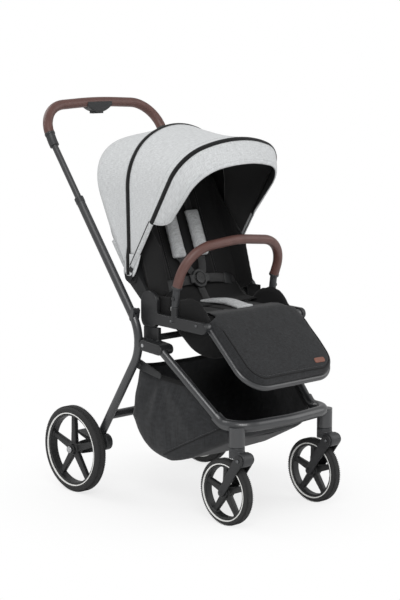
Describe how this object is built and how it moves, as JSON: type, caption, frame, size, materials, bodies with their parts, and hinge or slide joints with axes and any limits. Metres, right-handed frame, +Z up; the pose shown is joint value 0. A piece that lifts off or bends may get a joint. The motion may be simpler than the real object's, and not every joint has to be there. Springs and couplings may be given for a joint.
{
  "type": "baby stroller",
  "caption": "Folding baby stroller with swivel front wheels, reclining bucket seat, fold-back canopy, bumper bar, footrest, telescopic handle and basket.",
  "frame": {"origin": "on the floor, at the middle of the outline seen from above", "axes": "+Z up, the child faces -Y, +X to the child's left"},
  "size_m": [0.537, 0.8328, 1.1006],
  "materials": {
    "anthracite_tube": "satin powder coat",
    "black_plastic": "fine moulded grain",
    "tyre": "matt rubber",
    "brown_leather": "soft sewn leatherette",
    "black_fabric": "woven polyester",
    "grey_fabric": "melange woven polyester",
    "charcoal_fabric": "melange woven polyester",
    "webbing": "ribbed webbing",
    "steel": "turned"
  },
  "bodies": {
    "chassis": {"front_leg_left": "anthracite_tube", "front_leg_right": "anthracite_tube", "front_bar": "anthracite_tube", "fold_hub_left": "black_plastic", "fold_hub_right": "black_plastic", "fold_hub_pins": "steel", "cross_tube": "anthracite_tube", "basket": "charcoal_fabric", "seat_side_left": "black_plastic", "seat_side_right": "black_plastic", "seat_base": "black_plastic", "seat_cushion": "black_fabric", "harness_buckle": "black_plastic", "harness_straps": "webbing", "crotch_pad": "grey_fabric"},
    "rear_legs": {"rear_leg_left": "anthracite_tube", "rear_leg_right": "anthracite_tube", "rear_cross_bar": "anthracite_tube", "rear_axle_housing_left": "black_plastic", "rear_axle_housing_right": "black_plastic", "rear_axles": "steel", "basket_brackets": "black_plastic"},
    "brake": {"brake_pedal": "black_plastic"},
    "push_bar": {"push_tube_left": "anthracite_tube", "push_tube_right": "anthracite_tube"},
    "handle": {"handle_tube": "anthracite_tube", "handle_grip": "brown_leather", "handle_collars": "black_plastic", "release_housing": "black_plastic"},
    "release": {"release_button": "black_plastic"},
    "backrest": {"back_shell": "black_plastic", "back_cushion": "black_fabric", "shoulder_straps": "webbing", "shoulder_pads": "grey_fabric", "canopy_rear_panel": "grey_fabric"},
    "recline_lever": {"recline_lever": "black_plastic"},
    "canopy_mid": {"canopy_mid_bow": "black_plastic", "canopy_mid_panel": "grey_fabric"},
    "canopy_front": {"canopy_front_bow": "black_plastic", "canopy_visor": "grey_fabric"},
    "footrest": {"footrest_tube": "anthracite_tube", "leg_pad": "charcoal_fabric"},
    "bumper": {"bumper_bar": "brown_leather", "bumper_ends": "black_plastic"},
    "buckle_button": {"buckle_button": "black_plastic"},
    "bumper_button_left": {"bumper_button_left": "black_plastic"},
    "caster_left": {"caster_block_left": "black_plastic"},
    "fork_left": {"caster_fork_left": "black_plastic"},
    "front_wheel_left": {"front_tyre_left": "tyre", "front_rim_left": "black_plastic"},
    "rear_wheel_left": {"rear_tyre_left": "tyre", "rear_rim_left": "black_plastic"},
    "bumper_button_right": {"bumper_button_right": "black_plastic"},
    "caster_right": {"caster_block_right": "black_plastic"},
    "fork_right": {"caster_fork_right": "black_plastic"},
    "front_wheel_right": {"front_tyre_right": "tyre", "front_rim_right": "black_plastic"},
    "rear_wheel_right": {"rear_tyre_right": "tyre", "rear_rim_right": "black_plastic"}
  },
  "joints": [
    {"name": "rear_leg_fold", "type": "hinge", "parent": "chassis", "child": "rear_legs", "pos_m": [0, -0.054, 0.452], "axis": [1, 0, 0], "range_deg": [-37.5, 0]},
    {"name": "push_bar_fold", "type": "hinge", "parent": "rear_legs", "child": "push_bar", "pos_m": [0, -0.0122, 0.54058], "axis": [1, 0, 0], "range_deg": [0, 150], "deforming": ["basket"]},
    {"name": "handle_telescope", "type": "slide", "parent": "push_bar", "child": "handle", "axis": [0, 0.599, 0.8007], "range_m": [-0.13, 0.02]},
    {"name": "handle_release", "type": "slide", "parent": "handle", "child": "release", "axis": [0, 0, 1], "range_m": [0, 0.004], "stiffness_N_per_m": 400, "springref_m": -0.004},
    {"name": "brake_press", "type": "hinge", "parent": "rear_legs", "child": "brake", "pos_m": [0, 0.18146, 0.138], "axis": [1, 0, 0], "range_deg": [-22, 0]},
    {"name": "backrest_recline", "type": "hinge", "parent": "chassis", "child": "backrest", "pos_m": [0, -0.042, 0.545], "axis": [1, 0, 0], "range_deg": [-50, 0]},
    {"name": "recline_squeeze", "type": "slide", "parent": "backrest", "child": "recline_lever", "axis": [0, 0.3714, 0.9285], "range_m": [0, 0.006], "stiffness_N_per_m": 400, "springref_m": -0.004},
    {"name": "canopy_fold", "type": "hinge", "parent": "backrest", "child": "canopy_mid", "pos_m": [0, 0.04, 0.628], "axis": [1, 0, 0], "range_deg": [-14, 0], "deforming": ["canopy_rear_panel", "canopy_mid_panel"]},
    {"name": "canopy_front_fold", "type": "hinge", "parent": "canopy_mid", "child": "canopy_front", "pos_m": [0, 0.04, 0.628], "axis": [1, 0, 0], "range_deg": [-21, 0]},
    {"name": "footrest_tilt", "type": "hinge", "parent": "chassis", "child": "footrest", "pos_m": [0, -0.252, 0.518], "axis": [1, 0, 0], "range_deg": [-40, 12]},
    {"name": "bumper_lift", "type": "slide", "parent": "chassis", "child": "bumper", "axis": [0, 0, 1], "range_m": [0, 0.05]},
    {"name": "buckle_press", "type": "slide", "parent": "chassis", "child": "buckle_button", "axis": [0, 0.9285, -0.3714], "range_m": [0, 0.0024], "stiffness_N_per_m": 400, "springref_m": -0.004},
    {"name": "bumper_release_left", "type": "slide", "parent": "bumper", "child": "bumper_button_left", "axis": [-1, 0, 0], "range_m": [0, 0.0018], "stiffness_N_per_m": 400, "springref_m": -0.004},
    {"name": "caster_swivel_left", "type": "hinge", "parent": "chassis", "child": "caster_left", "pos_m": [0.168, -0.363, 0.219], "axis": [0, 0, 1], "continuous": true},
    {"name": "front_suspension_left", "type": "hinge", "parent": "caster_left", "child": "fork_left", "pos_m": [0.168, -0.389, 0.187], "axis": [1, 0, 0], "range_deg": [0, 4], "stiffness_Nm_per_rad": 30, "springref_deg": -11.46},
    {"name": "front_wheel_left", "type": "hinge", "parent": "fork_left", "child": "front_wheel_left", "pos_m": [0.168, -0.325, 0.09], "axis": [1, 0, 0], "continuous": true},
    {"name": "rear_wheel_left", "type": "hinge", "parent": "rear_legs", "child": "rear_wheel_left", "pos_m": [0.246, 0.212, 0.123], "axis": [1, 0, 0], "continuous": true},
    {"name": "bumper_release_right", "type": "slide", "parent": "bumper", "child": "bumper_button_right", "axis": [1, 0, 0], "range_m": [0, 0.0018], "stiffness_N_per_m": 400, "springref_m": -0.004},
    {"name": "caster_swivel_right", "type": "hinge", "parent": "chassis", "child": "caster_right", "pos_m": [-0.168, -0.363, 0.219], "axis": [0, 0, 1], "continuous": true},
    {"name": "front_suspension_right", "type": "hinge", "parent": "caster_right", "child": "fork_right", "pos_m": [-0.168, -0.389, 0.187], "axis": [1, 0, 0], "range_deg": [0, 4], "stiffness_Nm_per_rad": 30, "springref_deg": -11.46},
    {"name": "front_wheel_right", "type": "hinge", "parent": "fork_right", "child": "front_wheel_right", "pos_m": [-0.168, -0.325, 0.09], "axis": [1, 0, 0], "continuous": true},
    {"name": "rear_wheel_right", "type": "hinge", "parent": "rear_legs", "child": "rear_wheel_right", "pos_m": [-0.246, 0.212, 0.123], "axis": [1, 0, 0], "continuous": true}
  ],
  "couplings": [
    {"joint": "rear_leg_fold", "follows": "push_bar_fold", "ratio": -0.25},
    {"joint": "canopy_front_fold", "follows": "canopy_fold", "ratio": 1.5}
  ]
}
